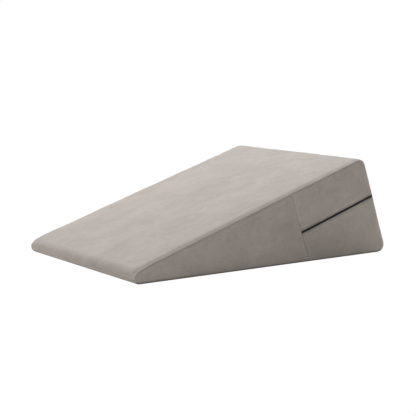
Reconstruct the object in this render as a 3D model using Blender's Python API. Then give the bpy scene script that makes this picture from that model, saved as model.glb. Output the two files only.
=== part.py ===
"""Wedge pillow: a filled bed wedge in a sewn velvet cover, with a zip let into its rear boxing.

The wedge stands on its base, nose towards -Y and tall back towards +Y, with its width along X.
Its skin is a loft between unlike sections: the side outline is swept across the width, drawn in
round the edges, and closed at each side by a panel. The seams are rows of that loft, pulled inwards.
"""

import math

import bmesh
import bpy
from mathutils import Vector

# Overall size of the wedge, in metres and radians
WIDTH = 0.610
LENGTH = 0.899
NOSE_HEIGHT = 0.0383
TOP_SLOPE = math.radians(17.88)
BACK_LEAN = math.radians(18.93)

# Rounding of the side outline at its four corners, and of the edges all round each side panel
NOSE_BOTTOM_RADIUS = 0.019
BACK_BOTTOM_RADIUS = 0.0235
BACK_TOP_RADIUS = 0.0277
NOSE_TOP_RADIUS = 0.025
EDGE_RADIUS = 0.013

# Filling: how far each panel swells between its seams, the side panel as a share of its height there
TOP_CROWN = 0.006
SIDE_SWELL = 0.014
BOXING_SWELL = 0.002

# Seams: how deep they are drawn in, and the half width of the groove
SEAM_DEPTH = 0.0022
SEAM_REACH = 0.004

# Foot of the upright seam between side panel and rear boxing, along the floor from the nose
UPRIGHT_SEAM = 0.589

# Zip: its drop below the sloping top edge, the size of its band and the gap to its channel
ZIP_DROP = 0.1302
ZIP_WIDTH = 0.0060
ZIP_THICKNESS = 0.0032
ZIP_PROUD = 0.0004
ZIP_VALLEY = 0.0003
ZIP_START = 0.0020
ZIP_DIP = 0.0016
FIT_GAP = 0.0003

# Columns and rows of the mesh, and the steps that round its edges and corners
FRONT_COLUMNS = 9
REAR_COLUMNS = 5
STRIP_ROWS = 3
ACROSS_STEPS = (-0.9, -0.7, -0.45, -0.2, 0.0, 0.2, 0.45, 0.7, 0.9)
ROLL_ANGLES = (0, 17, 33, 45, 57, 73, 90)
SEAM_ROLL = 45
CORNER_STEPS = (0.5, 0.58, 0.78, 1.0)
NOSE_STEPS = tuple(0.5 + k / 14 for k in range(8))

# Sides of the outline, each with the corner that it starts from: nose foot, back foot, back top, nose top
BASE, BACK, TOP, NOSE = range(4)
CORNER_RADII = (NOSE_BOTTOM_RADIUS, BACK_BOTTOM_RADIUS, BACK_TOP_RADIUS, NOSE_TOP_RADIUS)
SEAM_COLUMN = len(CORNER_STEPS) + FRONT_COLUMNS + 1
SEAM_COLUMN_ON_TOP = len(CORNER_STEPS) + REAR_COLUMNS + 1
ROW_UNDER_ZIP = len(CORNER_STEPS) + STRIP_ROWS

# Ways along the top and up the back, as (y, z)
TOP_WAY = Vector((math.cos(TOP_SLOPE), math.sin(TOP_SLOPE)))
BACK_WAY = Vector((-math.sin(BACK_LEAN), math.cos(BACK_LEAN)))


# Side outline, as (y, z)

def leaning_point(foot, drop):
    """Returns where a line from the floor, parallel to the back, comes within a drop of the top's line."""
    rise = (NOSE_HEIGHT - drop) * TOP_WAY.x + foot * TOP_WAY.y
    return Vector((foot, 0.0)) + BACK_WAY * rise / (BACK_WAY.y * TOP_WAY.x - BACK_WAY.x * TOP_WAY.y)


CORNERS = (Vector((0.0, 0.0)), Vector((LENGTH, 0.0)), leaning_point(LENGTH, 0.0), Vector((0.0, NOSE_HEIGHT)))


def inward(way):
    """Returns the normal on the left of a way round the outline, which points into the wedge."""
    return Vector((-way.y, way.x))


def way_of(side):
    """Returns the direction of one side of the outline."""
    return (CORNERS[(side + 1) % 4] - CORNERS[side % 4]).normalized()


def on_corner(corner, step):
    """Returns the point at a step from 0 to 1 round a corner, and its inward normal."""
    before = inward(way_of(corner - 1))
    after = inward(way_of(corner))
    turn = before.angle(after)
    radius = CORNER_RADII[corner % 4]
    centre = CORNERS[corner % 4] + (before + after).normalized() * radius / math.cos(turn / 2)
    angle = math.atan2(before.y, before.x) + turn * step
    normal = Vector((math.cos(angle), math.sin(angle)))
    return centre - normal * radius, normal


def on_side(side, step):
    """Returns the point at a step from 0 to 1 along the straight of a side, and its inward normal."""
    start, normal = on_corner(side, 1.0)
    end = on_corner(side + 1, 0.0)[0]
    return start.lerp(end, step), normal


def step_of(side, point):
    """Returns how far along the straight of a side a point lies, as a step from 0 to 1."""
    start = on_side(side, 0.0)[0]
    along = on_side(side, 1.0)[0] - start
    return (point - start).dot(along) / along.length_squared


def spread(start, end, count):
    """Returns evenly spaced steps strictly between two ends."""
    return [start + (end - start) * (k + 1) / (count + 1) for k in range(count)]


def seam_reach(side):
    """Returns the half width of a seam's groove as a step along a side."""
    return SEAM_REACH / (on_side(side, 1.0)[0] - on_side(side, 0.0)[0]).length


def column_steps(side, seam, before, after):
    """Returns the steps of the columns along the base or the top, three of them at the upright seam."""
    middle, reach = step_of(side, seam), seam_reach(side)
    steps = spread(0.0, middle - reach, before)
    steps += [middle - reach, middle, middle + reach]
    return steps + spread(middle + reach, 1.0, after)


def row_steps():
    """Returns the steps of the rows up the back, with the zip's channel between the middle two."""
    middle, reach = step_of(BACK, leaning_point(LENGTH, ZIP_DROP)), seam_reach(BACK)
    steps = spread(0.0, middle - reach, STRIP_ROWS)
    steps += [middle - reach, middle + reach]
    return steps + spread(middle + reach, 1.0, STRIP_ROWS)


def side_points(side, corner_steps, steps):
    """Returns one side, from the middle of its first corner to just before the middle of its last."""
    points = [on_corner(side, step) for step in corner_steps]
    points += [on_side(side, step) for step in steps]
    return points + [on_corner(side + 1, 1.0 - step) for step in reversed(corner_steps[1:])]


def whole_outline():
    """Returns the four sides of the outline, each a list of points with their inward normals."""
    foot, head = Vector((UPRIGHT_SEAM, 0.0)), leaning_point(UPRIGHT_SEAM, 0.0)
    base = side_points(BASE, CORNER_STEPS, column_steps(BASE, foot, FRONT_COLUMNS, REAR_COLUMNS))
    back = side_points(BACK, CORNER_STEPS, row_steps())
    top = side_points(TOP, CORNER_STEPS, column_steps(TOP, head, REAR_COLUMNS, FRONT_COLUMNS))
    spare = len(back) - 2 * len(NOSE_STEPS) + 1
    nose = side_points(NOSE, NOSE_STEPS, spread(0.0, 1.0, spare))
    return base, back, top, nose


# Filling

def hump(step):
    """Returns a smooth swell: 1 half way between the steps 0 and 1, and 0 from there out."""
    return max(0.0, 1.0 - (2.0 * step - 1.0) ** 2)


def two_humps(step, middle):
    """Returns the swell of two strips that meet at a middle step, where they are drawn in."""
    return hump(step / middle) if step < middle else hump((step - middle) / (1.0 - middle))


def top_swell(point, across):
    """Returns how far the top panel swells, flat along most of its length and arched across it."""
    along = max(0.0, 1.0 - abs(2.0 * step_of(TOP, point) - 1.0) ** 3)
    return TOP_CROWN * along * hump(0.5 + across / 2)


def back_swell(point, across):
    """Returns how far the rear boxing swells across the back, in a strip on each side of the zip."""
    middle = step_of(BACK, leaning_point(LENGTH, ZIP_DROP))
    return BOXING_SWELL * two_humps(step_of(BACK, point), middle) * hump(0.5 + across / 2)


def side_swell(point):
    """Returns how far a side swells, in one panel before the upright seam and two strips behind it."""
    height = NOSE_HEIGHT + point.x * TOP_WAY.y / TOP_WAY.x
    level = point.y / height
    backwards = -inward(BACK_WAY)
    behind = (point - Vector((UPRIGHT_SEAM, 0.0))).dot(backwards)
    if behind > 0.0:
        depth = (LENGTH - UPRIGHT_SEAM) * backwards.x
        return BOXING_SWELL * two_humps(level, 1.0 - ZIP_DROP / height) * hump(behind / depth)
    return SIDE_SWELL * height * hump(level) * min(1.0, -behind / 0.03)


# Skin of the body

def is_seam(side, index, roll):
    """Tells whether a seam runs through a point of the outline, at a roll round the edge."""
    if roll == SEAM_ROLL:
        # Along the base, the top and the nose's ends, but not down the wrapped rear corners
        return side != BACK or index == 0
    if roll > SEAM_ROLL:
        # Across the foot of the nose, and along both edges of the back
        return side != NOSE and index == 0
    # The upright seam, from the base's seam to the top's
    return (side, index) in ((BASE, SEAM_COLUMN), (TOP, SEAM_COLUMN_ON_TOP))


def ring_of(mesh, outline, place):
    """Adds one ring of vertices round the outline, each placed as (x, inset)."""
    ring = []
    for side, points in enumerate(outline):
        for index, (point, normal) in enumerate(points):
            x, inset = place(side, index, point)
            moved = point + normal * inset
            ring.append(mesh.verts.new((x, moved.x, moved.y)))
    return ring


def rolled_ring(mesh, outline, hand, roll):
    """Adds the ring at a roll round the edge, from 0 on the side panel to 90 on the top and base."""
    angle = math.radians(roll)

    def place(side, index, point):
        radius = EDGE_RADIUS - (SEAM_DEPTH if is_seam(side, index, roll) else 0.0)
        x = WIDTH / 2 - EDGE_RADIUS + radius * math.cos(angle)
        return hand * x, EDGE_RADIUS - radius * math.sin(angle)

    return ring_of(mesh, outline, place)


def swollen_ring(mesh, outline, across):
    """Adds the ring at a place from -1 to 1 across the width, swollen by the filling."""

    def place(side, index, point):
        inset = SEAM_DEPTH if is_seam(side, index, 90) else 0.0
        if side == TOP:
            inset -= top_swell(point, across)
        if side == BACK:
            inset -= back_swell(point, across)
        return across * (WIDTH / 2 - EDGE_RADIUS), inset

    return ring_of(mesh, outline, place)


def bridge(mesh, first, second):
    """Joins two rings of equal count with a band of faces."""
    for k in range(len(first)):
        n = (k + 1) % len(first)
        mesh.faces.new((first[k], first[n], second[n], second[k]))


def zip_level(foot, head):
    """Returns the level from 0 to 1 at which a column from foot to head crosses the zip's line."""
    slope = TOP_WAY.y / TOP_WAY.x
    start = NOSE_HEIGHT - ZIP_DROP + foot.y * slope - foot.z
    return start / (head.z - foot.z - (head.y - foot.y) * slope)


def levels_between(verts):
    """Returns the level of each vertex of a column, from 0 at its foot to 1 at its head."""
    rise = verts[-1].co.z - verts[0].co.z
    return [(vert.co.z - verts[0].co.z) / rise for vert in verts]


def shifted_level(level, old_middle, new_middle):
    """Returns a level stretched so that an old middle comes to lie at a new one."""
    if level <= old_middle:
        return level * new_middle / old_middle
    return 1.0 - (1.0 - level) * (1.0 - new_middle) / (1.0 - old_middle)


def side_panel(mesh, outline, ring, hand):
    """Closes one side with a grid of faces whose rows follow the zip's line behind the upright seam."""
    columns, rows = len(outline[BASE]), len(outline[BACK])
    base = ring[: columns + 1]
    back = ring[columns : columns + rows + 1]
    top = ring[columns + rows : 2 * columns + rows + 1][::-1]
    nose = (ring[2 * columns + rows :] + ring[:1])[::-1]
    back_levels, nose_levels = levels_between(back), levels_between(nose)
    back_middle = (back_levels[ROW_UNDER_ZIP] + back_levels[ROW_UNDER_ZIP + 1]) / 2
    grid = [nose]
    for column in range(1, columns):
        foot, head = base[column].co, top[column].co
        guide = max(column, SEAM_COLUMN - 1)
        middle = zip_level(base[guide].co, top[guide].co)
        share = min(1.0, column / (SEAM_COLUMN - 1))
        line = [base[column]]
        for row in range(1, rows):
            level = shifted_level(back_levels[row], back_middle, middle)
            spot = foot.lerp(head, nose_levels[row] + (level - nose_levels[row]) * share)
            lift = -SEAM_DEPTH if column == SEAM_COLUMN else side_swell(spot.yz)
            line.append(mesh.verts.new((hand * (WIDTH / 2 + lift), spot.y, spot.z)))
        grid.append(line + [top[column]])
    grid.append(back)
    for near, far in zip(grid, grid[1:]):
        for row in range(rows):
            mesh.faces.new((near[row], far[row], far[row + 1], near[row + 1]))


def body_mesh():
    """Returns the whole skin of the body as one closed mesh."""
    mesh = bmesh.new()
    outline = whole_outline()
    rings = [rolled_ring(mesh, outline, -1, roll) for roll in ROLL_ANGLES]
    rings += [swollen_ring(mesh, outline, across) for across in ACROSS_STEPS]
    rings += [rolled_ring(mesh, outline, 1, roll) for roll in reversed(ROLL_ANGLES)]
    for first, second in zip(rings, rings[1:]):
        bridge(mesh, first, second)
    side_panel(mesh, outline, rings[0], -1)
    side_panel(mesh, outline, rings[-1], 1)
    return mesh


# Zip band

def zip_stations(start):
    """Returns the band's stations as (x, y, z), way out of the surface and dip, from one seam to the other."""
    seam = leaning_point(UPRIGHT_SEAM, ZIP_DROP)
    corner = leaning_point(LENGTH, ZIP_DROP)
    half = []
    for distance, dip in ((start, ZIP_DIP), (SEAM_REACH + 0.002, 0.0)):
        point = seam + TOP_WAY * distance
        half.append((Vector((WIDTH / 2, point.x, point.y)), Vector((1.0, 0.0, 0.0)), dip))
    slant = -TOP_WAY.dot(inward(BACK_WAY))
    for roll in ROLL_ANGLES:
        angle = math.radians(roll)
        point = corner - TOP_WAY * EDGE_RADIUS * (1.0 - math.sin(angle)) / slant
        x = WIDTH / 2 - EDGE_RADIUS * (1.0 - math.cos(angle))
        out = Vector((math.cos(angle), TOP_WAY.x * math.sin(angle), TOP_WAY.y * math.sin(angle)))
        half.append((Vector((x, point.x, point.y)), out, 0.0))
    flip = Vector((-1.0, 1.0, 1.0))
    return half + [(spot * flip, out * flip, dip) for spot, out, dip in reversed(half)]


def band_mesh(stations, section, bottom):
    """Returns a band swept through the stations, from a section of (out of the surface, across the band)."""
    mesh = bmesh.new()
    across_way = Vector((0.0, -TOP_WAY.y, TOP_WAY.x))
    rings = []
    for spot, out, dip in stations:
        ring = []
        for height, across in section:
            sunk = height if height <= bottom else height - dip
            ring.append(mesh.verts.new(spot + out * sunk + across_way * across))
        rings.append(ring)
    for first, second in zip(rings, rings[1:]):
        bridge(mesh, first, second)
    mesh.faces.new(rings[0])
    mesh.faces.new(rings[-1])
    return mesh


def zip_section():
    """Returns the section of the band: a tape with two low rows of coil and a valley between them."""
    half = ZIP_WIDTH / 2
    return (
        (-ZIP_THICKNESS, half),
        (-ZIP_THICKNESS, -half),
        (0.0, -half),
        (ZIP_PROUD, -half * 0.65),
        (ZIP_PROUD, -half * 0.2),
        (ZIP_PROUD - ZIP_VALLEY, 0.0),
        (ZIP_PROUD, half * 0.2),
        (ZIP_PROUD, half * 0.65),
        (0.0, half),
    )


def channel_section():
    """Returns the section of the channel, open outwards and a gap wider and deeper than the band."""
    half = ZIP_WIDTH / 2 + FIT_GAP
    floor = -ZIP_THICKNESS - FIT_GAP
    return ((floor, half), (floor, -half), (0.008, -half), (0.008, half))


# Objects and materials

def new_material(name, color, roughness):
    """Returns a plain material of a colour and roughness."""
    material = bpy.data.materials.new(name)
    material.use_nodes = True
    shader = material.node_tree.nodes["Principled BSDF"]
    shader.inputs["Base Color"].default_value = (*color, 1.0)
    shader.inputs["Roughness"].default_value = roughness
    shader.inputs["Metallic"].default_value = 0.0
    return material


def new_object(name, mesh, collection, material=None):
    """Turns a bmesh into a named object with its faces pointing out."""
    bmesh.ops.recalc_face_normals(mesh, faces=mesh.faces)
    data = bpy.data.meshes.new(name)
    mesh.to_mesh(data)
    mesh.free()
    data.shade_smooth()
    data.set_sharp_from_angle(angle=math.radians(40))
    if material:
        data.materials.append(material)
    result = bpy.data.objects.new(name, data)
    collection.objects.link(result)
    return result


def new_collection(name):
    """Returns a new collection of the scene."""
    collection = bpy.data.collections.new(name)
    bpy.context.scene.collection.children.link(collection)
    return collection


def cut(body, cutter):
    """Cuts a cutter out of a body, and keeps the cutter as a wire guide."""
    cutter.hide_render = True
    cutter.display_type = "WIRE"
    modifier = body.modifiers.new("zip channel", "BOOLEAN")
    modifier.operation = "DIFFERENCE"
    modifier.object = cutter


def stand_on_centre(objects, body, collection):
    """Parents all objects to an empty that puts the middle of the body's base at the origin."""
    lengths = [vertex.co.y for vertex in body.data.vertices]
    root = bpy.data.objects.new("wedge_pillow", None)
    root.location = (0.0, -(min(lengths) + max(lengths)) / 2, 0.0)
    collection.objects.link(root)
    for item in objects:
        item.parent = root


def main():
    for item in list(bpy.data.objects):
        bpy.data.objects.remove(item)
    parts = new_collection("wedge pillow")
    cutters = new_collection("cutters")

    velvet = new_material("greige velvet", (0.46, 0.43, 0.40), 0.95)
    nylon = new_material("dark nylon", (0.014, 0.016, 0.018), 0.55)

    body = new_object("wedge_body", body_mesh(), parts, velvet)
    band = band_mesh(zip_stations(ZIP_START), zip_section(), -ZIP_THICKNESS)
    coil = new_object("zip_coil", band, parts, nylon)
    groove = band_mesh(zip_stations(ZIP_START - FIT_GAP), channel_section(), 1.0)
    channel = new_object("zip_channel", groove, cutters)
    cut(body, channel)
    stand_on_centre((body, coil, channel), body, parts)


main()
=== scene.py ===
"""Looks of the wedge pillow: its sewn velvet cover, the zip in the rear boxing, and a plain studio."""

import math

import bpy
import numpy as np
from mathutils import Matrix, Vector, noise


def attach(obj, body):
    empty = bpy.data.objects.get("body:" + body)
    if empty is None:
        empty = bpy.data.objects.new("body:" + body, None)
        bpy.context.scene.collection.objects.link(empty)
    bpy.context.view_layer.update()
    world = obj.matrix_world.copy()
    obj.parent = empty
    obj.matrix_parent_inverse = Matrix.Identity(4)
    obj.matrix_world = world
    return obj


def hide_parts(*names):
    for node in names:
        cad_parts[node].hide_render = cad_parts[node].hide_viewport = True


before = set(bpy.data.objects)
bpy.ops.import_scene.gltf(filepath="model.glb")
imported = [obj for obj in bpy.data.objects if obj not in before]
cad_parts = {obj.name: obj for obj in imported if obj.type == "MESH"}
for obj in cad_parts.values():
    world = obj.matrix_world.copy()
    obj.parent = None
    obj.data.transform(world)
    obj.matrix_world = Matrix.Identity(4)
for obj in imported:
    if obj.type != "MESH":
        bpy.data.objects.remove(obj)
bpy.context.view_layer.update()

# Camera and studio
CAMERA_LENS = 98.28
CAMERA_SPOT = (2.7908, -1.9512, 0.6085)
CAMERA_TURN = (math.radians(90 - 7.921), 0.0, math.radians(55.046))
FLOOR_SIZE = 40.0
WHITE = (1.0, 1.0, 1.0, 1.0)
WHITE_STRENGTH = 1.02
FLOOR_THROWN = (0.80, 0.785, 0.756, 1.0)
LAMP_AIM = (0.0, 0.0, 0.1)

# Lamps: name, location, energy and size
LAMPS = (
    ("left", (-3.0, 0.5, 4.4), 160.0, 3.0),
    ("back left", (-3.4, 3.4, 2.6), 84.5, 3.0),
    ("overhead", (-0.6, 1.0, 5.0), 108.0, 3.0),
    ("nose", (-2.2, -3.6, 0.7), 59.5, 1.3),
    ("right", (4.5, -0.5, 2.0), 56.5, 3.0),
)

# Size of the wedge in metres, as in the part's source
WIDTH = 0.610
LENGTH = 0.899
NOSE_HEIGHT = 0.0383
TOP_SLOPE = math.radians(17.88)
BACK_LEAN = math.radians(18.93)
CORNER_RADII = (0.019, 0.0235, 0.0277, 0.025)
EDGE_RADIUS = 0.013
SIDE_SWELL = 0.014
BOXING_SWELL = 0.002
ZIP_START = 0.0020

# The crown, the upright seam and the zip, each within a millimetre of the part's
TOP_CROWN = 0.007
UPRIGHT_SEAM = 0.5895
ZIP_DROP = 0.1305

# Steps away from a seam, and away from the middle of the zip, where the cover's height is in millimetres
SEAM_STEPS = (0.0, 0.0005, 0.0011, 0.0019, 0.0030, 0.0046, 0.0068)
ZIP_STEPS = (0.0, 0.0018, 0.0031, 0.0034, 0.0037, 0.0042, 0.0050,
             0.0060, 0.0070, 0.0076, 0.0082, 0.0090, 0.0112, 0.0140)
ZIP_HEIGHTS = (-3.0, -3.0, -2.9, -1.7, -0.6, 0.05, 0.30,
               0.35, 0.15, -0.35, -0.35, 0.10, 0.25, 0.1)
ZIP_ZONE = ZIP_STEPS[-1]

# The zip's channel ends square, this far behind the upright seam
CHANNEL_END = 0.0009

# Rings of the cover: their distances on the side panel's side of the edge's seam, and past it on the other
SHORT_STEPS = SEAM_STEPS + (0.0098, 0.0138)
PAST_STEPS = SEAM_STEPS + (0.0088, 0.0106, 0.0116, 0.0125, 0.0134, 0.0144, 0.0166, 0.0205, 0.0260)

# Edges round a side panel: the tilt of the skin from the panel above or below, at distances past the seam
TOP_EDGE = ((-0.0025, 90), (-0.0010, 88), (0.0, 76), (0.0008, 48), (0.0018, 20), (0.0060, 15), (0.0120, 11),
            (0.0180, 5), (0.0230, 1.5), (0.0280, 0))
NOSE_EDGE = ((-0.0026, 90), (-0.0008, 84), (0.0, 60), (0.0007, 32), (0.0022, 10), (0.0060, 0))
BASE_EDGE = ((-0.0134, 90), (0.0, 20), (0.0035, 0))
BACK_EDGE = ((-0.0098, 90), (0.0098, 0))

# Where the edges' sections are sampled, and how far to each side their way out is taken
EDGE_SAMPLES = np.linspace(-0.015, 0.030, 451)
EDGE_NUDGE = 0.0004

# Where the seam across each corner of the outline lies, as a step round it: low on the nose, and else half way
SEAM_AT = (0.22, 0.5, 0.5, 0.5)

# How much of a nose corner's arc it takes to go over from one side's edge to the next one's
NOSE_BLEND = 0.45

# Numbers of steps along the outline's straights, round its corners and across the width
FRONT_COLUMNS = 70
REAR_COLUMNS = 34
LOWER_ROWS = 20
UPPER_ROWS = 13
CORNER_COUNT = 10
NOSE_FOOT_COUNT = 7
NOSE_TOP_COUNT = 13
ACROSS = 76

# A seam draws the cover in, between low shoulders
SEAM_DEPTH = 0.0016
SEAM_REACH = 0.0036
SHOULDER_HEIGHT = 0.00025
SHOULDER_PLACE = 0.0065
SHOULDER_REACH = 0.004

# Distances added to those from flatter seams: the one under the nose, the upright ones, and the stitches
FLAT_SEAM = 0.0002
FINE_SEAM = 0.0001
STITCH_SEAM = 0.0011

# The edge's seam is steeper on the top's side, and gapes round the nose from just before its upper corner on
TOP_STEEPNESS = 1.4
GAPE_SHARE = 0.45
GAPE_START = 0.004
GAPE_RISE = 0.010

# How far from a side panel's seams its swell sets in
SWELL_RISE = 0.03
EDGE_RISE = 0.004

# The edge of the cloth sewn in below marks the top: how far past the seam, how deep and how wide
CLOTH_PLACE = 0.0125
CLOTH_DEPTH = 0.00035
CLOTH_REACH = 0.0018

# The side's seam droops from a distance before the nose's upper corner to one after it, and the shift fades
# out past the seam
NOSE_DROOP = 0.0022
DROOP_START = 0.045
DROOP_RISE = 0.033
DROOP_FALL = 0.009
DROOP_REACH = 0.022

# Dents and puckers of the cloth: how deep, how many to the metre, and how far from a seam
DENT_DEPTH = 0.0009
DENT_RATE = 10.0
PUCKER_DEPTH = 0.0005
PUCKER_RATE = 38.0
PUCKER_REACH = 0.0138

# Painted shade in a darker band along the top's rolled edge: how far and how much, and how much more near the
# nose, over which distances it sets in and fades, how much of it is left at the nose's seam, and how uneven it is
EDGE_SHADE_REACH = 0.022
EDGE_SHADE_WIDER = 0.004
EDGE_SHADE_SHARE = 0.72
EDGE_SHADE_DEEPER = 0.20
EDGE_SHADE_RISE = 0.008
EDGE_SHADE_FADE = 0.016
EDGE_SHADE_LEFT = 0.35
EDGE_SHADE_END = 0.040
EDGE_SHADE_UNEVEN = 0.30
EDGE_SHADE_RATE = 26.0
EDGE_SHADE_ASIDE = 3.7

# How far the marks stored on the cover reach: dark seams, painted light on the rear edge, and painted shade in
# the fold down to the zip
SEAM_MARK = 0.0030
REAR_LIGHT_REACH = 0.011
CHANNEL_SHADE_DEPTH = 0.003

# The zip's teeth, its tape as (aside, out), and the stitches beside it
TOOTH_PITCH = 0.0015
TOOTH_START = 0.0008
TOOTH_STOP = 0.0006
TOOTH_SIDES = 7
TOOTH_SECTIONS = (
    # across, out, radius along, radius out
    (-0.00030, -0.00030, 0.00020, 0.00016),
    (-0.00010, -0.00022, 0.00052, 0.00040),
    (0.00050, -0.00015, 0.00048, 0.00042),
    (0.00150, -0.00012, 0.00040, 0.00042),
    (0.00245, -0.00020, 0.00040, 0.00042),
    (0.00285, -0.00075, 0.00038, 0.00036),
)
TAPE_SECTION = ((-0.0033, -0.0021), (-0.0029, -0.0012), (-0.0015, -0.0009), (0.0, -0.0010),
                (0.0015, -0.0009), (0.0029, -0.0012), (0.0033, -0.0021))
TAPE_STEPS = 420
STITCH_PITCH = 0.0033
STITCH_LENGTH = 0.0025
STITCH_ASIDE = 0.0079
STITCH_RADIUS = 0.00034
STITCH_SIDES = 6
STITCH_START = 0.0036
STITCH_STOP = 0.003

# A stitch's steps from its middle to its ends, its depth, and how it dives where it leaves its flat middle
STITCH_STEPS = (1.0, 0.8, 0.35, -0.35, -0.8, -1.0)
STITCH_FLAT = 0.35
STITCH_DEPTH = 0.00038
STITCH_DIVE = 0.00075
STITCH_CURVE = 1.2

# Colours, and the velvet of each kind of panel: name, brightness, turn and stretch of the nap, size of its
# patches, depth of its tones, and how much painted shade darkens it where it meets the floor
VELVET = (0.471, 0.424, 0.389)
COIL = (0.014, 0.017, 0.020)
TAPE = (0.012, 0.014, 0.016)
THREAD = (0.13, 0.115, 0.10)
VELVETS = (
    ("velvet_top", 1.0, (0.0, 0.0, math.radians(24)), (0.85, 1.35, 1.0), 0.046, 0.145, 1.0),
    ("velvet_side", 1.0, (math.radians(-12), 0.0, 0.0), (1.0, 1.25, 0.9), 0.040, 0.165, 0.50),
    ("velvet_boxing", 1.0, (math.radians(-30), 0.0, 1.15), (1.1, 1.1, 0.9), 0.042, 0.165, 0.54),
    # The base's velvet is painted 1.12 times lighter: painted light, for the floor's light on the lip under the
    # nose
    ("velvet_base", 1.12, (0.0, 0.0, 0.3), (1.0, 1.4, 1.0), 0.05, 0.145, 1.0),
)

# Nap: how wide its strokes are, how fine its pile is, and how much each layer counts beside the clouds
STROKE_WIDTH = 0.055
PILE_RATE = 420.0
BROAD_SHARE = 0.9
WISP_SHARE = 0.90
STROKE_SHARE = 0.28
PILE_SHARE = 0.70

# How light the velvet is where it is marked, and the heights between which the painted shade along the floor
# fades
SEAM_SHADE = 0.70
# Painted light on the rear edge, then painted shade along the top's edge and in the zip's channel
REAR_LIGHT_TONE = 1.10
EDGE_SHADE_TONE = 0.77
CHANNEL_SHADE_TONE = 0.25
FLOOR_SHADE_LOW = 0.0030
FLOOR_SHADE_HIGH = 0.0080

# Panels of the cover, which are also its material slots
PANEL_TOP, PANEL_SIDE, PANEL_BOXING, PANEL_BASE = range(4)

# Sides of the outline, each with the corner that it starts from: nose foot, back foot, back top, nose top
BASE, BACK, TOP, NOSE = range(4)

TOP_WAY = Vector((math.cos(TOP_SLOPE), math.sin(TOP_SLOPE)))
BACK_WAY = Vector((-math.sin(BACK_LEAN), math.cos(BACK_LEAN)))


def clamp(value):
    """Returns a value kept from 0 to 1."""
    return min(1.0, max(0.0, value))


def ease(value):
    """Returns a value kept from 0 to 1, that leaves 0 and meets 1 softly."""
    step = clamp(value)
    return step * step * (3.0 - 2.0 * step)


def add_object(name, data):
    """Adds an object that holds some data to the scene, and returns it."""
    item = bpy.data.objects.new(name, data)
    bpy.context.scene.collection.objects.link(item)
    return item


def add_mesh(name, points, faces):
    """Adds a smooth mesh of points and faces to the scene, and returns its object."""
    data = bpy.data.meshes.new(name)
    data.from_pydata(points, [], faces)
    data.shade_smooth()
    return add_object(name, data)


# Camera and studio

def add_camera():
    """Makes the camera of the photograph."""
    data = bpy.data.cameras.new("camera")
    data.sensor_width = 36.0
    data.lens = CAMERA_LENS
    data.clip_end = 200.0
    camera = add_object("camera", data)
    camera.location = CAMERA_SPOT
    camera.rotation_euler = CAMERA_TURN
    bpy.context.scene.camera = camera


def add_lamp(name, location, energy, size):
    """Adds a round lamp that looks at the pillow."""
    data = bpy.data.lights.new(name, "AREA")
    data.energy = energy
    data.shape = "DISK"
    data.size = size
    lamp = add_object(name, data)
    lamp.location = location
    lamp.rotation_euler = (Vector(LAMP_AIM) - Vector(location)).to_track_quat("-Z", "Y").to_euler()


def join_by_ray(tree, thrown, seen, output):
    """Joins two shaders to an output: one that is seen itself, and one for the light that it throws."""
    path = tree.nodes.new("ShaderNodeLightPath")
    mix = tree.nodes.new("ShaderNodeMixShader")
    tree.links.new(path.outputs["Is Camera Ray"], mix.inputs[0])
    tree.links.new(thrown.outputs[0], mix.inputs[1])
    tree.links.new(seen.outputs[0], mix.inputs[2])
    tree.links.new(mix.outputs[0], output.inputs["Surface"])


def add_world():
    """Makes the surroundings: seen as white, but throwing no light."""
    world = bpy.data.worlds.new("studio")
    bpy.context.scene.world = world
    world.use_nodes = True
    nodes = world.node_tree.nodes
    nodes.clear()
    thrown = nodes.new("ShaderNodeBackground")
    thrown.inputs["Color"].default_value = (0.98, 0.99, 1.0, 1.0)
    thrown.inputs["Strength"].default_value = 0.0
    seen = nodes.new("ShaderNodeBackground")
    seen.inputs["Color"].default_value = WHITE
    seen.inputs["Strength"].default_value = WHITE_STRENGTH
    join_by_ray(world.node_tree, thrown, seen, nodes.new("ShaderNodeOutputWorld"))


def floor_material():
    """Returns the floor's paint: seen as white paper, but throwing back less light than that."""
    material = bpy.data.materials.new("floor")
    material.use_nodes = True
    nodes = material.node_tree.nodes
    seen = nodes["Principled BSDF"]
    seen.inputs["Base Color"].default_value = (0.0, 0.0, 0.0, 1.0)
    seen.inputs["Roughness"].default_value = 0.95
    seen.inputs["Specular IOR Level"].default_value = 0.0
    seen.inputs["Emission Color"].default_value = WHITE
    seen.inputs["Emission Strength"].default_value = WHITE_STRENGTH
    thrown = nodes.new("ShaderNodeBsdfDiffuse")
    thrown.inputs["Color"].default_value = FLOOR_THROWN
    join_by_ray(material.node_tree, thrown, seen, nodes["Material Output"])
    return material


def add_studio():
    """Makes the pale floor, the white surroundings and the soft light."""
    bpy.context.scene.view_settings.view_transform = "Standard"
    add_world()
    far = FLOOR_SIZE
    floor = add_mesh("floor", [(-far, -far, 0), (far, -far, 0), (far, far, 0), (-far, far, 0)], [(0, 1, 2, 3)])
    floor.data.materials.append(floor_material())
    for lamp in LAMPS:
        add_lamp(*lamp)


# Side outline, as (y, z), built as in the part's source

def leaning_point(foot, drop):
    """Returns where a line from the floor, parallel to the back, comes within a drop of the top's line."""
    rise = (NOSE_HEIGHT - drop) * TOP_WAY.x + foot * TOP_WAY.y
    return Vector((foot, 0.0)) + BACK_WAY * rise / (BACK_WAY.y * TOP_WAY.x - BACK_WAY.x * TOP_WAY.y)


CORNERS = (Vector((0.0, 0.0)), Vector((LENGTH, 0.0)), leaning_point(LENGTH, 0.0), Vector((0.0, NOSE_HEIGHT)))

# The zip's line meets the upright seam, and then the back
ZIP_SEAM_SPOT = leaning_point(UPRIGHT_SEAM, ZIP_DROP)
ZIP_BACK_SPOT = leaning_point(LENGTH, ZIP_DROP)


def inward(way):
    """Returns the normal on the left of a way round the outline, which points into the wedge."""
    return Vector((-way.y, way.x))


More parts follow.
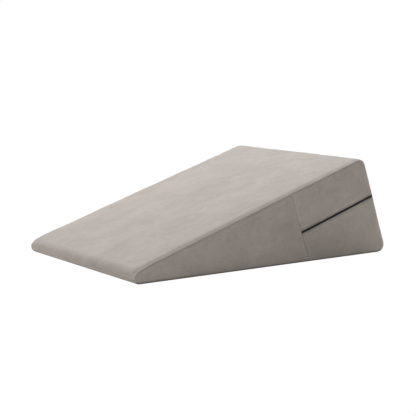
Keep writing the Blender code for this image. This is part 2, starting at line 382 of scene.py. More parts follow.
def behind_seam(point):
    """Returns how far a point of the outline's plane lies behind the upright seam."""
    return (point - Vector((UPRIGHT_SEAM, 0.0))).dot(-inward(BACK_WAY))


def way_of(side):
    """Returns the direction of one side of the outline."""
    return (CORNERS[(side + 1) % 4] - CORNERS[side % 4]).normalized()


def turn_of(corner):
    """Returns the angle that the outline turns through at a corner."""
    return inward(way_of(corner - 1)).angle(inward(way_of(corner)))


def arc_of(corner):
    """Returns the length of the arc round a corner."""
    return CORNER_RADII[corner % 4] * turn_of(corner)


def on_corner(corner, step):
    """Returns the point at a step from 0 to 1 round a corner, and its inward normal."""
    before, after = inward(way_of(corner - 1)), inward(way_of(corner))
    turn = before.angle(after)
    radius = CORNER_RADII[corner % 4]
    centre = CORNERS[corner % 4] + (before + after).normalized() * radius / math.cos(turn / 2)
    angle = math.atan2(before.y, before.x) + turn * step
    normal = Vector((math.cos(angle), math.sin(angle)))
    return centre - normal * radius, normal


def on_side(side, step):
    """Returns the point at a step from 0 to 1 along the straight of a side, and its inward normal."""
    start, normal = on_corner(side, 1.0)
    return start.lerp(on_corner(side + 1, 0.0)[0], step), normal


def length_of(side):
    """Returns the length of the straight of a side."""
    return (on_side(side, 1.0)[0] - on_side(side, 0.0)[0]).length


def step_of(side, point):
    """Returns how far along the straight of a side a point lies, as a step from 0 to 1."""
    start = on_side(side, 0.0)[0]
    along = on_side(side, 1.0)[0] - start
    return (point - start).dot(along) / along.length_squared


def seam_spread(seam, end, arc, count):
    """Returns steps from a seam to an arc's end: the seam's own distances, then growing ones."""
    reach = abs(end - seam) * arc
    fine = [d for d in SEAM_STEPS if d < reach * 0.8][:count - 2]
    rest = list(np.linspace(fine[-1], reach, count - len(fine) + 1)[1:])
    sign = 1.0 if end > seam else -1.0
    return [seam + sign * d / arc for d in fine + rest]


def after_seam(corner, count):
    """Returns steps round a corner from its seam to the arc's end, close together at the seam."""
    return seam_spread(SEAM_AT[corner % 4], 1.0, arc_of(corner), count)


def before_seam(corner, count):
    """Returns steps round a corner from the arc's start to its seam, close together at the seam."""
    return seam_spread(SEAM_AT[corner % 4], 0.0, arc_of(corner), count)[::-1]


def inner_steps(start, end, count):
    """Returns a count of even steps between a start and an end, without either."""
    return list(np.linspace(start, end, count + 2)[1:-1])


def straight_steps(side, middle, zone, before, after):
    """Returns the steps along a side: evenly to a zone, at the zone's own distances, and evenly to the end."""
    mirrored = [-d for d in reversed(zone[1:])] + list(zone)
    fixed = [middle + d / length_of(side) for d in mirrored]
    return inner_steps(0.0, fixed[0], before) + fixed + inner_steps(fixed[-1], 1.0, after)


def corner_weights(corner, step):
    """Returns how much of each side's edge a point round a corner has."""
    share = ease((step - 0.5) / NOSE_BLEND if corner % 4 in (0, 3) else step)
    weights = [0.0, 0.0, 0.0, 0.0]
    weights[(corner - 1) % 4] += 1.0 - share
    weights[corner % 4] += share
    return weights


def side_points(side, first, steps, last):
    """Returns one side as (point, normal, distance from its first seam, distance to its last seam, weights)."""
    first_arc, last_arc = arc_of(side), arc_of(side + 1)
    first_seam, last_seam = SEAM_AT[side % 4], SEAM_AT[(side + 1) % 4]
    length = length_of(side)
    start = (1.0 - first_seam) * first_arc
    total = start + length + last_seam * last_arc
    found = []
    for step in first:
        found.append((*on_corner(side, step), (step - first_seam) * first_arc, corner_weights(side, step)))
    for step in steps:
        found.append((*on_side(side, step), start + step * length, corner_weights(side, 1.0)))
    for step in last[:-1]:
        place = start + length + step * last_arc
        found.append((*on_corner(side + 1, step), place, corner_weights(side + 1, step)))
    return [(point, normal, place, total - place, weights) for point, normal, place, weights in found]


def whole_outline():
    """Returns the four sides of the outline."""
    # The seam's columns stand further apart on the base than on the top, because the seam leans
    leaning = [d / math.cos(BACK_LEAN) for d in SEAM_STEPS]
    foot = step_of(BASE, Vector((UPRIGHT_SEAM, 0.0)))
    head = step_of(TOP, leaning_point(UPRIGHT_SEAM, 0.0))
    base_steps = straight_steps(BASE, foot, leaning, FRONT_COLUMNS, REAR_COLUMNS)
    top_steps = straight_steps(TOP, head, SEAM_STEPS, REAR_COLUMNS, FRONT_COLUMNS)
    back_steps = straight_steps(BACK, step_of(BACK, ZIP_BACK_SPOT), ZIP_STEPS, LOWER_ROWS, UPPER_ROWS)
    base = side_points(BASE, after_seam(0, CORNER_COUNT), base_steps, before_seam(1, CORNER_COUNT))
    back = side_points(BACK, after_seam(1, CORNER_COUNT), back_steps, before_seam(2, CORNER_COUNT))
    top = side_points(TOP, after_seam(2, CORNER_COUNT), top_steps, before_seam(3, CORNER_COUNT))
    # The nose has as many points as the back
    nose_steps = inner_steps(0.0, 1.0, len(back) - NOSE_TOP_COUNT - NOSE_FOOT_COUNT + 1)
    nose_top = list(np.linspace(0.5, 1.0, NOSE_TOP_COUNT))
    nose = side_points(NOSE, nose_top, nose_steps, before_seam(0, NOSE_FOOT_COUNT))
    return base, back, top, nose


# Edges

class Edge:
    """The section of an edge: how far in from the side and from the panel it runs, at distances past its seam."""

    def __init__(self, knots):
        places, tilts = zip(*knots)
        angles = np.radians(np.interp(EDGE_SAMPLES, places, tilts))
        middle = (angles[1:] + angles[:-1]) / 2
        step = EDGE_SAMPLES[1] - EDGE_SAMPLES[0]
        self.from_side = np.concatenate(([0.0], np.cumsum(np.cos(middle)) * step))
        self.from_panel = np.concatenate((np.cumsum((np.sin(middle) * step)[::-1])[::-1], [0.0]))

    def at(self, past):
        """Returns how far in from the side, and from the panel, a point past the seam lies."""
        return np.array([np.interp(past, EDGE_SAMPLES, line) for line in (self.from_side, self.from_panel)])


EDGES = (Edge(BASE_EDGE), Edge(BACK_EDGE), Edge(TOP_EDGE), Edge(NOSE_EDGE))


def edge_at(past, weights):
    """Returns the place in from the side and the panel, and the way out of the skin, of a blend of edges."""
    place, ahead = np.zeros(2), np.zeros(2)
    for edge, weight in zip(EDGES, weights):
        if weight:
            place += edge.at(past) * weight
            ahead += (edge.at(past + EDGE_NUDGE) - edge.at(past - EDGE_NUDGE)) * weight
    ahead /= np.linalg.norm(ahead)
    return place, (-ahead[1], ahead[0])


def droop(side, start, end):
    """Returns how far the side's seam hangs lower than elsewhere, before the upper corner of the nose."""
    if side not in (TOP, NOSE):
        return 0.0
    place = -end if side == TOP else start
    return NOSE_DROOP * ease((place + DROOP_START) / DROOP_RISE) * ease((DROOP_FALL - place) / DROOP_FALL)


# Filling

def hump(step):
    """Returns a smooth swell: 1 half way between the steps 0 and 1, and 0 from there out."""
    return max(0.0, 1.0 - (2.0 * step - 1.0) ** 2)


def two_humps(step, middle):
    """Returns the swell of two strips that meet at a middle step, where they are drawn in."""
    return hump(step / middle) if step < middle else hump((step - middle) / (1.0 - middle))


def top_swell(point, across):
    """Returns how far the top panel swells, flat along most of its length and arched across it."""
    along = max(0.0, 1.0 - abs(2.0 * step_of(TOP, point) - 1.0) ** 3)
    return TOP_CROWN * along * (1.0 - abs(across) ** 4)


def back_swell(point, across):
    """Returns how far the rear boxing swells across the back, in a strip on each side of the zip."""
    strips = two_humps(step_of(BACK, point), step_of(BACK, ZIP_BACK_SPOT))
    return BOXING_SWELL * strips * hump(0.5 + across / 2)


def side_swell(point):
    """Returns how far a side swells, in one panel before the upright seam and two strips behind it."""
    height = NOSE_HEIGHT + point.x * TOP_WAY.y / TOP_WAY.x
    level = point.y / height
    behind = behind_seam(point)
    if behind > 0.0:
        depth = (LENGTH - UPRIGHT_SEAM) * BACK_WAY.y
        return BOXING_SWELL * two_humps(level, 1.0 - ZIP_DROP / height) * hump(behind / depth)
    return SIDE_SWELL * height * hump(level) * min(1.0, -behind / SWELL_RISE)


# Seams, zip and nap

def ray_distance(along, aside):
    """Returns the distance to a ray from nought, at a distance along it and aside from it."""
    return abs(aside) if along >= 0.0 else math.hypot(along, aside)


def seam_distance(side, spot, start, end, past):
    """Returns the distance to the nearest seam, for a point that lies past the edge's seam by some distance."""
    if side == BACK:
        return min(ray_distance(past, start), ray_distance(past, end))
    if side == NOSE:
        gape = GAPE_SHARE * clamp((start + GAPE_START) / GAPE_RISE)
        return min(abs(past) * (1.0 - gape), ray_distance(past, end) + FLAT_SEAM)
    upright = ray_distance(-past, behind_seam(spot)) + FINE_SEAM
    if side == BASE:
        return min(upright, abs(past), ray_distance(past, start) + FLAT_SEAM, ray_distance(past, end))
    return min(upright, past * TOP_STEEPNESS if past > 0.0 else -past, ray_distance(past, start))


def seam_profile(distances):
    """Returns how far the cover is drawn in at distances from its seams."""
    valley = np.clip(1.0 - distances / SEAM_REACH, 0.0, 1.0)
    shoulder = np.exp(-((distances - SHOULDER_PLACE) / SHOULDER_REACH) ** 2)
    return -SEAM_DEPTH * valley ** 2.0 + SHOULDER_HEIGHT * shoulder


def zip_height(aside):
    """Returns how far the cover stands proud at a distance aside from the zip's middle, in metres."""
    if abs(aside) >= ZIP_ZONE:
        return 0.0
    return float(np.interp(abs(aside), ZIP_STEPS, ZIP_HEIGHTS)) / 1000.0


def stitch_distance(aside):
    """Returns the distance to the nearer row of stitches, for a point aside from the zip's middle."""
    return abs(abs(aside) - STITCH_ASIDE) + STITCH_SEAM


def edge_shade(past, along):
    """Returns how much painted shade darkens the top's edge past a seam, wider and deeper near the nose than at
    the back.
    """
    reach = EDGE_SHADE_REACH + EDGE_SHADE_WIDER * along
    share = EDGE_SHADE_SHARE + EDGE_SHADE_DEEPER * along
    return share * ease((reach - past) / EDGE_SHADE_FADE) * clamp(past / EDGE_SHADE_RISE)


def edge_shade_at(point, spot, hand, past, end):
    """Returns how much painted shade darkens the top's edge, unevenly, and less towards the nose's seam."""
    strip = edge_shade(past, clamp(1.25 * step_of(TOP, point)))
    strip *= EDGE_SHADE_LEFT + (1.0 - EDGE_SHADE_LEFT) * clamp(end / EDGE_SHADE_END)
    place = Vector((EDGE_SHADE_ASIDE * hand, EDGE_SHADE_RATE * spot.x, EDGE_SHADE_RATE * spot.y))
    return strip * (1.0 + EDGE_SHADE_UNEVEN * noise.noise(place))


def uneven(spots, outs, seams):
    """Returns how far the cloth lies off its even shape: broad soft dents, and puckers beside the seams."""
    shifts = []
    for spot, out, seam in zip(spots, outs, seams):
        place = Vector(spot)
        dents = DENT_DEPTH * noise.noise(place * DENT_RATE)
        puckers = PUCKER_DEPTH * noise.noise(place * PUCKER_RATE) * max(0.0, 1.0 - seam / PUCKER_REACH) ** 2
        # The base lies flat
        shifts.append((dents + puckers) * clamp(1.0 + 2.0 * out[2]))
    return np.array(shifts)


# Cover

class Skin:
    """The cover's points, each with its way out of the surface and what it needs to be sewn and filled."""

    def __init__(self):
        self.points = []
        self.faces = []
        self.panels = []

    def add(self, spot, out, swell, seam, lift, strip=0.0, rear_light=0.0):
        """Adds a point, and returns its number."""
        self.points.append((spot, out, swell, seam, lift, strip, rear_light))
        return len(self.points) - 1

    def join(self, face, panel):
        """Adds a face of a panel."""
        self.faces.append(face)
        self.panels.append(panel)

    def flat(self, number):
        """Returns where a point lies in the outline's plane."""
        return Vector(self.points[number][0][1:])


def panel_of(side, past, point):
    """Returns the panel of a part of the skin, past the edge's seam and at a point of the outline."""
    if side == BACK or (past < 0.0 and behind_seam(point) > 0.0):
        return PANEL_BOXING
    if past < 0.0:
        return PANEL_SIDE
    return PANEL_BASE if side == BASE else PANEL_TOP


def ring_swell(side, point, spot, hand, share, x, past, out):
    """Returns how far the filling lifts a point of a ring."""
    if hand and past < 0.0:
        return side_swell(spot) * min(1.0, -past / EDGE_RISE)
    if side == TOP:
        return top_swell(point, x / (WIDTH / 2)) * (out[1] if hand else 1.0)
    return back_swell(point, share) if side == BACK else 0.0


def ring_of(skin, outline, share, past):
    """Adds one ring of points round the outline, at a share of the half width and past the edge's seam."""
    hand = share if abs(share) == 1.0 else 0.0
    ring = []
    for side, points in enumerate(outline):
        for point, normal, start, end, weights in points:
            place, out = edge_at(past, weights)
            half = WIDTH / 2 - place[0]
            x, here = share * half, past + (1.0 - abs(share)) * half
            spot = point + normal * (place[1] + droop(side, start, end) * clamp(1.0 - past / DROOP_REACH))
            way = (hand * out[0], -normal.x * out[1], -normal.y * out[1])
            swell = ring_swell(side, point, spot, hand, share, x, past, out)
            swell -= CLOTH_DEPTH * weights[TOP] * math.exp(-((here - CLOTH_PLACE) / CLOTH_REACH) ** 2)
            seam, lift = seam_distance(side, spot, start, end, here), 0.0
            if side == BACK:
                aside = (point - ZIP_BACK_SPOT).dot(BACK_WAY)
                seam, lift = min(seam, stitch_distance(aside)), zip_height(aside)
            # Painted shade: a darker band along the top's rolled edge
            strip = edge_shade_at(point, spot, hand, here, end) * weights[TOP]
            # Painted light: the back's rounded upright edges are painted lighter
            rear_light = weights[BACK] * math.exp(-(here / REAR_LIGHT_REACH) ** 2)
            ring.append(skin.add((x, spot.x, spot.y), way, swell, seam, lift, strip, rear_light))
    return ring


def bridge(skin, outline, first, second, past):
    """Joins two rings with a band of faces, whose middle lies past the edge's seam by some distance."""
    places = [(side, entry[0]) for side, points in enumerate(outline) for entry in points]
    for k, (side, point) in enumerate(places):
        n = (k + 1) % len(first)
        skin.join((first[k], first[n], second[n], second[k]), panel_of(side, past, (point + places[n][1]) / 2))


def crossing(foot, head, shift):
    """Returns the level at which a column from foot to head crosses a line aside of the zip by a shift."""
    slope = TOP_WAY.y / TOP_WAY.x
    start = NOSE_HEIGHT - ZIP_DROP + shift / TOP_WAY.x + foot.x * slope - foot.y
    return start / (head.y - foot.y - (head.x - foot.x) * slope)


def levels_of(skin, line):
    """Returns the heights of a line's points, as steps from its first to its last."""
    heights = [skin.flat(number).y for number in line]
    return [(height - heights[0]) / (heights[-1] - heights[0]) for height in heights]


def row_levels(foot, head, back_levels, asides):
    """Returns where the grid's rows cross a column, so that they follow the zip's line."""
    zone = [row for row, aside in enumerate(asides) if abs(aside) <= ZIP_ZONE + 1e-6]
    low, high = zone[0], zone[-1]
    lower, upper = crossing(foot, head, -ZIP_ZONE), crossing(foot, head, ZIP_ZONE)
    levels = [lower * level / back_levels[low] for level in back_levels[:low]]
    levels += [crossing(foot, head, aside) for aside in asides[low : high + 1]]
    return levels + [1.0 - (1.0 - upper) * (1.0 - level) / (1.0 - back_levels[high])
                     for level in back_levels[high + 1 :]]


def add_side_point(skin, spot, hand, aside):
    """Adds a point of a side panel's grid, in a row that runs aside of the zip, and returns its number."""
    behind = behind_seam(spot)
    seam, lift = abs(behind) + FINE_SEAM, 0.0
    if behind > 0.0:
        seam = min(seam, stitch_distance((spot - ZIP_BACK_SPOT).dot(inward(TOP_WAY))))
        lift = zip_height(aside) * clamp((behind - CHANNEL_END) / CHANNEL_END)
    return skin.add((hand * WIDTH / 2, spot.x, spot.y), (hand, 0.0, 0.0), side_swell(spot), seam, lift)


def side_panel(skin, outline, ring, hand):
    """Closes one side with a grid whose rows follow the zip's line behind the upright seam."""
    columns, rows = len(outline[BASE]), len(outline[BACK])
    base = ring[: columns + 1]
    back = ring[columns : columns + rows + 1]
    top = ring[columns + rows : 2 * columns + rows + 1][::-1]
    nose = (ring[2 * columns + rows :] + ring[:1])[::-1]
    nose_levels, back_levels = levels_of(skin, nose), levels_of(skin, back)
    asides = [(entry[0] - ZIP_BACK_SPOT).dot(BACK_WAY) for entry in outline[BACK]]
    seam_column = min(range(columns), key=lambda column: abs(behind_seam(skin.flat(base[column]))))
    grid = [nose]
    for column in range(1, columns):
        # The rows before the upright seam fan out from the nose to where they cross the seam
        guide = max(column, seam_column)
        levels = row_levels(skin.flat(base[guide]), skin.flat(top[guide]), back_levels, asides)
        share = min(1.0, column / seam_column)
        foot, head = skin.flat(base[column]), skin.flat(top[column])
        line = [base[column]]
        for row in range(1, rows):
            spot = foot.lerp(head, nose_levels[row] + (levels[row] - nose_levels[row]) * share)
            line.append(add_side_point(skin, spot, hand, asides[row]))
        grid.append(line + [top[column]])
    grid.append(back)
    for column, (near, far) in enumerate(zip(grid, grid[1:])):
        for row in range(rows):
            face = (near[row], far[row], far[row + 1], near[row + 1])
            panel = PANEL_SIDE if column < seam_column else PANEL_BOXING
            skin.join(face if hand > 0 else face[::-1], panel)


def make_skin():
    """Returns the whole skin of the cover."""
    skin = Skin()
    outline = whole_outline()
    edge = [-d for d in reversed(SHORT_STEPS[1:])] + list(PAST_STEPS)
    places = [(-1.0, past) for past in edge]
    places += [(float(share), edge[-1]) for share in inner_steps(-1.0, 1.0, ACROSS)]
    places += [(1.0, past) for past in reversed(edge)]
    rings = [ring_of(skin, outline, share, past) for share, past in places]
    for k in range(len(rings) - 1):
        bridge(skin, outline, rings[k], rings[k + 1], (places[k][1] + places[k + 1][1]) / 2)
    side_panel(skin, outline, rings[0], -1)
    side_panel(skin, outline, rings[-1], 1)
    return skin


def cover_object():
    """Makes the sewn cover, and returns it with the shift that centres it along the length."""
    skin = make_skin()
    spots, outs, swells, seams, lifts, strips, rear_light = (np.array(column) for column in zip(*skin.points))
    offsets = swells + seam_profile(seams) + lifts + uneven(spots, outs, seams)
    spots += outs * offsets[:, None]
    shift = -(spots[:, 1].min() + spots[:, 1].max()) / 2
    spots[:, 1] += shift
    # It stands flat on the floor
    spots[:, 2] = np.maximum(spots[:, 2], 0.0)
    cover = add_mesh("velvet_cover", spots.tolist(), skin.faces)
    cover.data.polygons.foreach_set("material_index", np.array(skin.panels, dtype=np.int32))
    # Marks for the velvet: dark seams, painted shade along the top's edge and in the zip's channel, and painted
    # light on the back's upright edges
    marks = {
        "seam": np.clip(1.0 - seams / SEAM_MARK, 0.0, 1.0),
        "channel_shade": np.clip(-lifts / CHANNEL_SHADE_DEPTH, 0.0, 1.0),
        "edge_shade": strips,
        "rear_light": rear_light,
    }
    for name, values in marks.items():
        layer = cover.data.attributes.new(name, "FLOAT", "POINT")
        layer.data.foreach_set("value", values.astype(np.float32))
    return cover, shift


# Materials

def rgba(tone, share):
    """Returns a share of a tone, as an opaque colour."""
    return [c * share for c in tone] + [1.0]


class Shading:
    """A material's nodes, with short ways to add and join them."""

    def __init__(self, name):
        self.material = bpy.data.materials.new(name)
        self.material.use_nodes = True
        self.nodes = self.material.node_tree.nodes
        self.links = self.material.node_tree.links
        self.shader = self.nodes["Principled BSDF"]

    def add(self, kind, inputs=None, **settings):
        """Adds a node, sets its settings, and sets or joins its inputs. Returns its first output."""
        node = self.nodes.new(kind)
        for key, value in settings.items():
            setattr(node, key, value)
        for key, value in (inputs or {}).items():
            self.join(node.inputs[key], value)
        return node.outputs[0]

    def join(self, socket, value):
        """Links a socket to another node's output, or sets it to a value."""
        if isinstance(value, bpy.types.NodeSocket):
            self.links.new(value, socket)
        else:
            socket.default_value = value

    def surface(self, **inputs):
        """Sets or joins the shader's inputs, named with _ for a space."""
        for key, value in inputs.items():
            self.join(self.shader.inputs[key.replace("_", " ")], value)

    def math(self, operation, *values):
        """Returns the result of an operation on values."""
        return self.add("ShaderNodeMath", dict(enumerate(values)), operation=operation)

    def place(self, turn=(0.0, 0.0, 0.0), scale=(1.0, 1.0, 1.0), shift=(0.0, 0.0, 0.0)):
        """Returns the object's own coordinates in metres, turned and scaled."""
        spot = self.nodes.new("ShaderNodeTexCoord").outputs["Object"]
        turned = self.add("ShaderNodeMapping", {"Vector": spot, "Rotation": turn}, vector_type="POINT")
        return self.add("ShaderNodeMapping", {"Vector": turned, "Scale": scale, "Location": shift})

    def height(self):
        """Returns the height above the object's own origin, in metres."""
        return self.add("ShaderNodeSeparateXYZ", {0: self.place()}).node.outputs["Z"]

    def noise(self, place, scale, detail, roughness, distortion=0.0):
        """Returns a cloud of values round one half."""
        return self.add("ShaderNodeTexNoise", {
            "Vector": place, "Scale": scale, "Detail": detail, "Roughness": roughness, "Distortion": distortion})

    def sum(self, first, second, share):
        """Returns a first value plus a share of how far a second one lies from one half."""
        return self.math("MULTIPLY_ADD", self.math("SUBTRACT", second, 0.5), share, first)

    def range(self, value, low, high, to_low, to_high, smooth=False):
        """Returns a value carried from one range to another."""
        kind = "SMOOTHSTEP" if smooth else "LINEAR"
        return self.add("ShaderNodeMapRange", {
            "Value": value, "From Min": low, "From Max": high, "To Min": to_low, "To Max": to_high},
            interpolation_type=kind)

    def blend(self, factor, first, second, kind="MIX"):
        """Returns two colours mixed by a factor."""
        node = self.nodes.new("ShaderNodeMix")
        node.data_type = "RGBA"
        node.blend_type = kind
        self.join(node.inputs["Factor"], factor)
        self.join(node.inputs[6], first)
        self.join(node.inputs[7], second)
        return node.outputs[2]

    def darkened(self, color, share):
        """Returns a colour multiplied by a share."""
        grey = self.add("ShaderNodeCombineColor", {0: share, 1: share, 2: share})
        return self.blend(1.0, color, grey, "MULTIPLY")

    def bump(self, height, distance, strength, **inputs):
        """Returns a normal that is bent by a height."""
        return self.add("ShaderNodeBump", {
            "Height": height, "Distance": distance, "Strength": strength, **inputs})

    def attribute(self, name):
        """Returns a value stored on the mesh's points."""
        node = self.nodes.new("ShaderNodeAttribute")
        node.attribute_name = name
        return node.outputs["Fac"]


def velvet(name, brightness, turn, stretch, patch, depth, floor_shade):
    """Returns brushed velvet, whose nap lies in patches and wisps of a turn, stretch, size and depth of tone."""
    m = Shading(name)

    def cloud(size, shift, detail, roughness, distortion):
        """Returns a cloud whose patches have a size, shifted away from the other clouds."""
        place = m.place(turn, [1.0 / (patch * size * s) for s in stretch], shift)
        return m.noise(place, 1.0, detail, roughness, distortion)

    broad = cloud(2.6, (3.1, 7.7, 1.3), 2.0, 0.5, 0.4)
    clouds = cloud(1.0, (0.0, 0.0, 0.0), 6.0, 0.70, 0.9)
    wisps = cloud(0.30, (5.2, 1.9, 8.4), 4.0, 0.66, 1.6)
    strokes = m.range(m.math("ABSOLUTE", m.math("SUBTRACT", wisps, 0.5)), 0.0, STROKE_WIDTH, 1.0, 0.0)
    pile = m.noise(m.place(), PILE_RATE, 3.0, 0.6)
    lively = m.range(cloud(1.7, (9.3, 2.2, 4.6), 2.0, 0.5, 0.5), 0.38, 0.62, 0.45, 1.25, True)
    nap = m.sum(clouds, broad, BROAD_SHARE)
    nap = m.sum(nap, wisps, m.range(lively, 0.0, 1.0, 0.0, WISP_SHARE))
    nap = m.sum(nap, strokes, m.range(lively, 0.0, 1.0, 0.0, STROKE_SHARE))
    nap = m.sum(nap, pile, PILE_SHARE)
    tone = [c * brightness for c in VELVET]
    color = m.blend(m.range(nap, 0.05, 0.95, 0.0, 1.0), rgba(tone, 1.0 - depth), rgba(tone, 1.0 + depth))
    shade = m.range(m.attribute("seam"), 0.4, 1.0, 1.0, SEAM_SHADE)
    # Painted light: lighter along the back's rounded upright edges
    shade = m.math("MULTIPLY", shade, m.range(m.attribute("rear_light"), 0.0, 1.0, 1.0, REAR_LIGHT_TONE))
    # Painted shade: darker along the top's rolled edge
    shade = m.math("MULTIPLY", shade, m.range(m.attribute("edge_shade"), 0.0, 1.0, 1.0, EDGE_SHADE_TONE))
    # Painted shade: darker towards the floor, for the contact shadow
    shade = m.math("MULTIPLY", shade, m.range(m.height(), FLOOR_SHADE_LOW, FLOOR_SHADE_HIGH, floor_shade, 1.0, True))
    # Painted shade: darker where the cover dips into the zip's channel
    color = m.darkened(m.darkened(color, shade), m.range(m.attribute("channel_shade"), 0.15, 0.8, 1.0, CHANNEL_SHADE_TONE))
    m.surface(Base_Color=color, Roughness=m.range(nap, 0.2, 0.8, 0.98, 0.82), Specular_IOR_Level=0.12,
              Sheen_Weight=0.30, Sheen_Roughness=0.45, Sheen_Tint=(1.0, 0.97, 0.94, 1.0),
              Normal=m.bump(pile, 0.0002, 0.6, Normal=m.bump(nap, 0.0010, 0.4)))
    return m.material


def thread(name, tone):
    """Returns the twisted sewing thread."""
    m = Shading(name)
    twist = m.add("ShaderNodeTexWave", {
        "Vector": m.place((0.0, 0.0, math.radians(45))), "Scale": 900.0, "Distortion": 1.5, "Detail": 1.0})
    m.surface(Base_Color=m.blend(twist, rgba(tone, 0.75), rgba(tone, 1.0)), Roughness=0.7, Sheen_Weight=0.2,
              Normal=m.bump(twist, 0.0001, 0.6))
    return m.material


def nylon(name, tone, roughness):
    """Returns the dark nylon of the zip, a little uneven in its gloss."""
    m = Shading(name)
    cloud = m.noise(m.place(), 260.0, 3.0, 0.6)
    m.surface(Base_Color=m.blend(cloud, rgba(tone, 0.8), rgba(tone, 1.25)),
              Roughness=m.range(cloud, 0.3, 0.7, roughness - 0.08, roughness + 0.1),
              Normal=m.bump(cloud, 0.00005, 0.4))
    return m.material


def woven(name, tone):
    """Returns the woven tape of the zip."""
    m = Shading(name)
    weave = m.add("ShaderNodeTexWave", {
        "Vector": m.place((0.0, 0.0, math.radians(45))), "Scale": 700.0, "Distortion": 0.6})
    height = m.sum(weave, m.noise(m.place(), 900.0, 2.0, 0.6), 0.5)
    m.surface(Base_Color=m.blend(height, rgba(tone, 0.7), rgba(tone, 1.3)), Roughness=0.85,
              Normal=m.bump(height, 0.00012, 0.8))
    return m.material


# Zip: its path runs from the upright seam to the back, across it, and back to the other side's seam

ZIP_SIDE = (ZIP_BACK_SPOT - ZIP_SEAM_SPOT).length - EDGE_RADIUS
ZIP_ARC = EDGE_RADIUS * math.pi / 2
ZIP_LENGTH = 2 * (ZIP_SIDE + ZIP_ARC) + (WIDTH - 2 * EDGE_RADIUS)


def half_zip(distance):
    """Returns the zip's spot, its way along and its way out, at a distance along its first half."""
    if distance <= ZIP_SIDE:
        point = ZIP_SEAM_SPOT + TOP_WAY * distance
        return (WIDTH / 2, point.x, point.y), (0.0, TOP_WAY.x, TOP_WAY.y), (1.0, 0.0, 0.0)
    angle = min(1.0, (distance - ZIP_SIDE) / ZIP_ARC) * math.pi / 2
    point = ZIP_BACK_SPOT - TOP_WAY * EDGE_RADIUS * (1.0 - math.sin(angle))
    x = WIDTH / 2 - EDGE_RADIUS * (1.0 - math.cos(angle)) - max(0.0, distance - ZIP_SIDE - ZIP_ARC)
    along = (-math.sin(angle), TOP_WAY.x * math.cos(angle), TOP_WAY.y * math.cos(angle))
    out = (math.cos(angle), TOP_WAY.x * math.sin(angle), TOP_WAY.y * math.sin(angle))
    return (x, point.x, point.y), along, out


def zip_at(distance):
    """Returns the zip's spot, its way along and its way out, at a distance along it."""
    spot, along, out = half_zip(min(distance, ZIP_LENGTH - distance))
    if distance > ZIP_LENGTH / 2:
        spot, along, out = (-spot[0], *spot[1:]), (along[0], -along[1], -along[2]), (-out[0], *out[1:])
    return np.array(spot), np.array(along), np.array(out)


def ring_points(sides):
    """Returns the cosine and sine at each corner of a ring."""
    angles = [2 * math.pi * k / sides for k in range(sides)]
    return [(math.cos(angle), math.sin(angle)) for angle in angles]


def tube(rings):
    """Returns the points of rings in a row, and the faces that join them and close both ends."""
    sides = len(rings[0])
    faces = []
    for first in range(0, (len(rings) - 1) * sides, sides):
        second = first + sides
        for k in range(sides):
            n = (k + 1) % sides
            faces.append((first + k, first + n, second + n, second + k))
    last = (len(rings) - 1) * sides
    faces.append(tuple(range(sides))[::-1])
    faces.append(tuple(range(last, last + sides)))
    return [point for ring in rings for point in ring], faces


def placed(name, template, faces, stations, shift):
    """Makes one object of many copies of a template, each set at a station of the zip's path."""
    template = np.array(template)
    points, polygons = [], []
    for distance, mirror in stations:
        spot, along, out = zip_at(distance)
        across = np.cross(out, along) * mirror
        start = len(points)
        points.extend(spot + template[:, :1] * along + template[:, 1:2] * across + template[:, 2:] * out)
        turn = -1 if mirror > 0 else 1
        polygons.extend(tuple(start + k for k in face[::turn]) for face in faces)
    return add_mesh(name, (np.array(points) + (0.0, shift, 0.0)).tolist(), polygons)


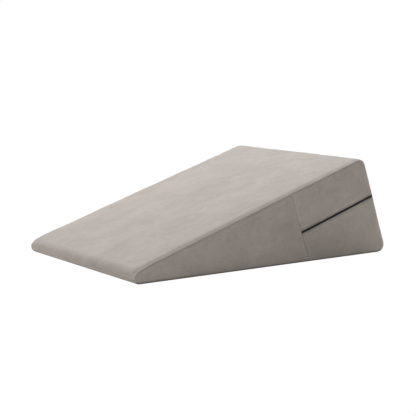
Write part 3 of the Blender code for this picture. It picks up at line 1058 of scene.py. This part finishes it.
def zip_teeth(shift):
    """Makes the two interlocked rows of the coil."""
    rings = [[(wide * c, across, out + tall * s) for c, s in ring_points(TOOTH_SIDES)]
             for across, out, wide, tall in TOOTH_SECTIONS]
    stations = []
    for mirror, start in ((1, 0.0), (-1, TOOTH_PITCH / 2)):
        distance = ZIP_START + TOOTH_START + start
        while distance < ZIP_LENGTH - ZIP_START - TOOTH_STOP:
            stations.append((distance, mirror))
            distance += TOOTH_PITCH
    return placed("zip_teeth", *tube(rings), stations, shift)


def zip_tape(shift):
    """Makes the woven tape that carries the coil and passes under the cover's folds."""
    points, faces = [], []
    for distance in np.linspace(ZIP_START, ZIP_LENGTH - ZIP_START, TAPE_STEPS):
        spot, along, out = zip_at(distance)
        across = np.cross(out, along)
        points.extend(spot + across * aside + out * height for aside, height in TAPE_SECTION)
    count = len(TAPE_SECTION)
    for first in range(0, (TAPE_STEPS - 1) * count, count):
        second = first + count
        for k in range(count - 1):
            faces.append((first + k, second + k, second + k + 1, first + k + 1))
    return add_mesh("zip_tape", (np.array(points) + (0.0, shift, 0.0)).tolist(), faces)


def zip_stitches(shift):
    """Makes the two rows of topstitching beside the zip, each stitch a short thread that dives at both ends."""
    rows = []
    for name, aside in (("zip_stitches_lower", -STITCH_ASIDE), ("zip_stitches_upper", STITCH_ASIDE)):
        rings = []
        for step in STITCH_STEPS:
            out = -STITCH_DEPTH - STITCH_DIVE * max(0.0, abs(step) - STITCH_FLAT) ** STITCH_CURVE
            rings.append([(step * STITCH_LENGTH / 2, aside + STITCH_RADIUS * c, out + STITCH_RADIUS * s)
                          for c, s in ring_points(STITCH_SIDES)])
        stations = [(distance, 1) for distance in np.arange(STITCH_START, ZIP_LENGTH - STITCH_STOP, STITCH_PITCH)]
        rows.append(placed(name, *tube(rings), stations, shift))
    return rows


def main():
    """Makes the camera, the studio and the pillow, attaches each piece to the root body and hides the parts it
    replaces.
    """
    add_camera()
    add_studio()
    cover, shift = cover_object()
    for looks in VELVETS:
        cover.data.materials.append(velvet(*looks))
    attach(cover, "root")
    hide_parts("wedge_body")
    teeth, tape = zip_teeth(shift), zip_tape(shift)
    teeth.data.materials.append(nylon("zip_nylon", COIL, 0.42))
    tape.data.materials.append(woven("zip_tape", TAPE))
    for piece in (teeth, tape):
        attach(piece, "root")
    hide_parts("zip_coil")
    sewing = thread("thread", THREAD)
    for row in zip_stitches(shift):
        row.data.materials.append(sewing)
        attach(row, "root")


main()
